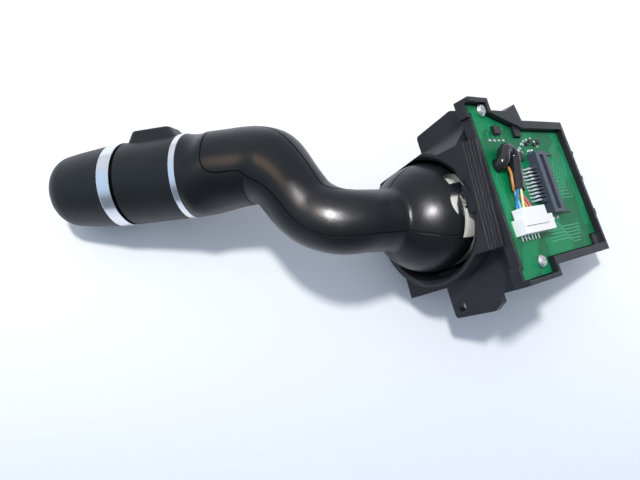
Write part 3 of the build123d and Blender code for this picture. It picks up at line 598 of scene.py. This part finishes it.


# ---- the parting line: a thin dark strip over the gap between the lid and the back shell, painted shade of the groove ----
def painted_seam_shade():
    """Follow the lid's sharp outer edges that face another wall of the lever close by."""
    sharp = math.radians(40)
    weld = 1e-6
    # millimetres: where the rays start, how far they look, and where the strip's two rails run
    off_wall, inward, aside = 0.02, 0.3, 0.4
    gap_reach, sky_reach = 0.8, 25
    proud, near_rail, far_rail = 0.025, -0.10, 0.40

    lever = bmesh.new()
    for name in ("lever_lid", "lever_back_shell", "lever_core"):
        copy = nodes[name].data.copy()
        copy.transform(nodes[name].matrix_world)
        lever.from_mesh(copy)
        bpy.data.meshes.remove(copy)
    tree = BVHTree.FromBMesh(lever)
    lever.free()

    lid = nodes["lever_lid"]
    bm = bmesh.new()
    bm.from_mesh(lid.data)
    bm.transform(lid.matrix_world)
    bmesh.ops.remove_doubles(bm, verts=bm.verts, dist=weld)
    bm.normal_update()
    skin_at, wall_at, runs = {}, {}, []
    for edge in bm.edges:
        if len(edge.link_faces) != 2 or edge.calc_face_angle(0.0) < sharp:
            continue
        for skin, wall in (edge.link_faces, reversed(edge.link_faces)):
            middle = (edge.verts[0].co + edge.verts[1].co) / 2
            start = middle + skin.normal * inward * MM - wall.normal * aside * MM
            below = middle + wall.normal * off_wall * MM - skin.normal * inward * MM
            across = tree.ray_cast(below, wall.normal, gap_reach * MM)
            if across[0] is None:
                continue
            if tree.ray_cast(start, skin.normal, sky_reach * MM)[0] is not None:
                continue
            runs.append(edge)
            for vert in edge.verts:
                skin_at.setdefault(vert, []).append(skin.normal.copy())
                wall_at.setdefault(vert, []).append(wall.normal.copy())
            break

    out = bmesh.new()
    rails = {}
    for vert, normals in skin_at.items():
        up = sum(normals, Vector()).normalized()
        away = sum(wall_at[vert], Vector()).normalized()
        away = (away - up * away.dot(up)).normalized()
        lift = vert.co + up * proud * MM
        rails[vert] = [out.verts.new(lift + away * step * MM) for step in (near_rail, far_rail)]
    for edge in runs:
        a, b = (rails[vert] for vert in edge.verts)
        out.faces.new((a[0], a[1], b[1], b[0]))
    bmesh.ops.recalc_face_normals(out, faces=out.faces)
    bm.free()
    # The strip's dark colour is painted shade: it stands for the shade inside the groove between
    # the shells.
    shade = plastic(
        "seam_shade", (0.0015, 0.0015, 0.002), (0.003, 0.003, 0.0035), (0.6, 0.7),
        edge=0.05, shine=0.1,
    )
    finish_piece("painted_seam_shade", out, "lever", shade, "lever")


painted_seam_shade()


# ---- stage ----
def floor():
    """Bench, with painted shade: its colour a little darker on the viewer's side, where the light
    falls off.
    """
    mesh = bpy.data.meshes.new("floor")
    corners = [
        (x * bench_reach, y * bench_reach, 0) for x, y in ((-1, -1), (1, -1), (1, 1), (-1, 1))
    ]
    mesh.from_pydata(corners, [], [(0, 1, 2, 3)])
    bench = bpy.data.objects.new("floor", mesh)
    bpy.context.scene.collection.objects.link(bench)
    material, tree, shader = new_material("bench_with_painted_shade")
    painted_falloff = spread(tree, dot(tree, object_place(tree), bench_shade_towards), WHOLE, bench_shade_over)
    feed(tree, two_tone(tree, painted_falloff, bench_painted_shade, bench_light), shader.inputs["Base Color"])
    feed(tree, bench_rough, shader.inputs["Roughness"])
    feed(tree, 0.0, shader.inputs["Specular IOR Level"])
    mesh.materials.append(material)


def lamp(name, kind, at, aim, power, colour):
    data = bpy.data.lights.new(name, kind)
    data.energy = power
    data.color = colour
    piece = bpy.data.objects.new(name, data)
    piece.location = at
    piece.rotation_euler = (Vector(aim) - Vector(at)).to_track_quat("-Z", "Y").to_euler()
    bpy.context.scene.collection.objects.link(piece)
    return piece


def key_light():
    """The lamp that lights the bench and casts the shadow."""
    piece = lamp("key", "AREA", key_at, key_aim, key_power, key_colour)
    piece.data.shape = "DISK"
    piece.data.size = key_size
    piece.visible_glossy = False


def glint(name, at, aim, reach, power, colour, soft, source):
    """A narrow beam that only shows as a highlight on glossy faces within its reach."""
    piece = lamp(name, "SPOT", at, aim, power, colour)
    distance = (Vector(at) - Vector(aim)).length
    piece.data.spot_size = 2 * math.atan(reach / distance)
    piece.data.spot_blend = soft
    piece.data.shadow_soft_size = source
    piece.visible_diffuse = False


def camera():
    data = bpy.data.cameras.new("camera")
    data.lens = camera_lens
    data.sensor_width = camera_sensor
    data.clip_start = camera_near
    eye = bpy.data.objects.new("camera", data)
    forward = (camera_aim - camera_at).normalized()
    right = forward.cross(Vector((0, 1, 0))).normalized()
    up = right.cross(forward)
    rolled_up = up * math.cos(camera_roll) + right * math.sin(camera_roll)
    rolled_right = forward.cross(rolled_up)
    turn = Matrix((rolled_right, rolled_up, -forward)).transposed().to_4x4()
    eye.matrix_world = Matrix.Translation(camera_at) @ turn
    bpy.context.scene.collection.objects.link(eye)
    bpy.context.scene.camera = eye


def sky():
    """Bright beyond the bench, dark on the viewer's side, with a blue window to the left."""
    world = bpy.data.worlds.new("studio")
    world.use_nodes = True
    tree = world.node_tree
    ray = tree.nodes.new("ShaderNodeTexCoord").outputs["Generated"]
    beyond = spread(tree, dot(tree, ray, sky_towards), WHOLE, sky_over)
    window = spread(tree, dot(tree, ray, window_towards), (0.0, window_share), window_over)
    tone = two_tone(tree, beyond, sky_dark, sky_bright)
    tone = two_tone(tree, window, tone, window_blue)
    feed(tree, tone, tree.nodes["Background"].inputs["Color"])
    bpy.context.scene.world = world


floor()
camera()
key_light()
for name, beam in glints.items():
    glint(name, *beam)
sky()
bpy.context.scene.view_settings.view_transform = "Standard"
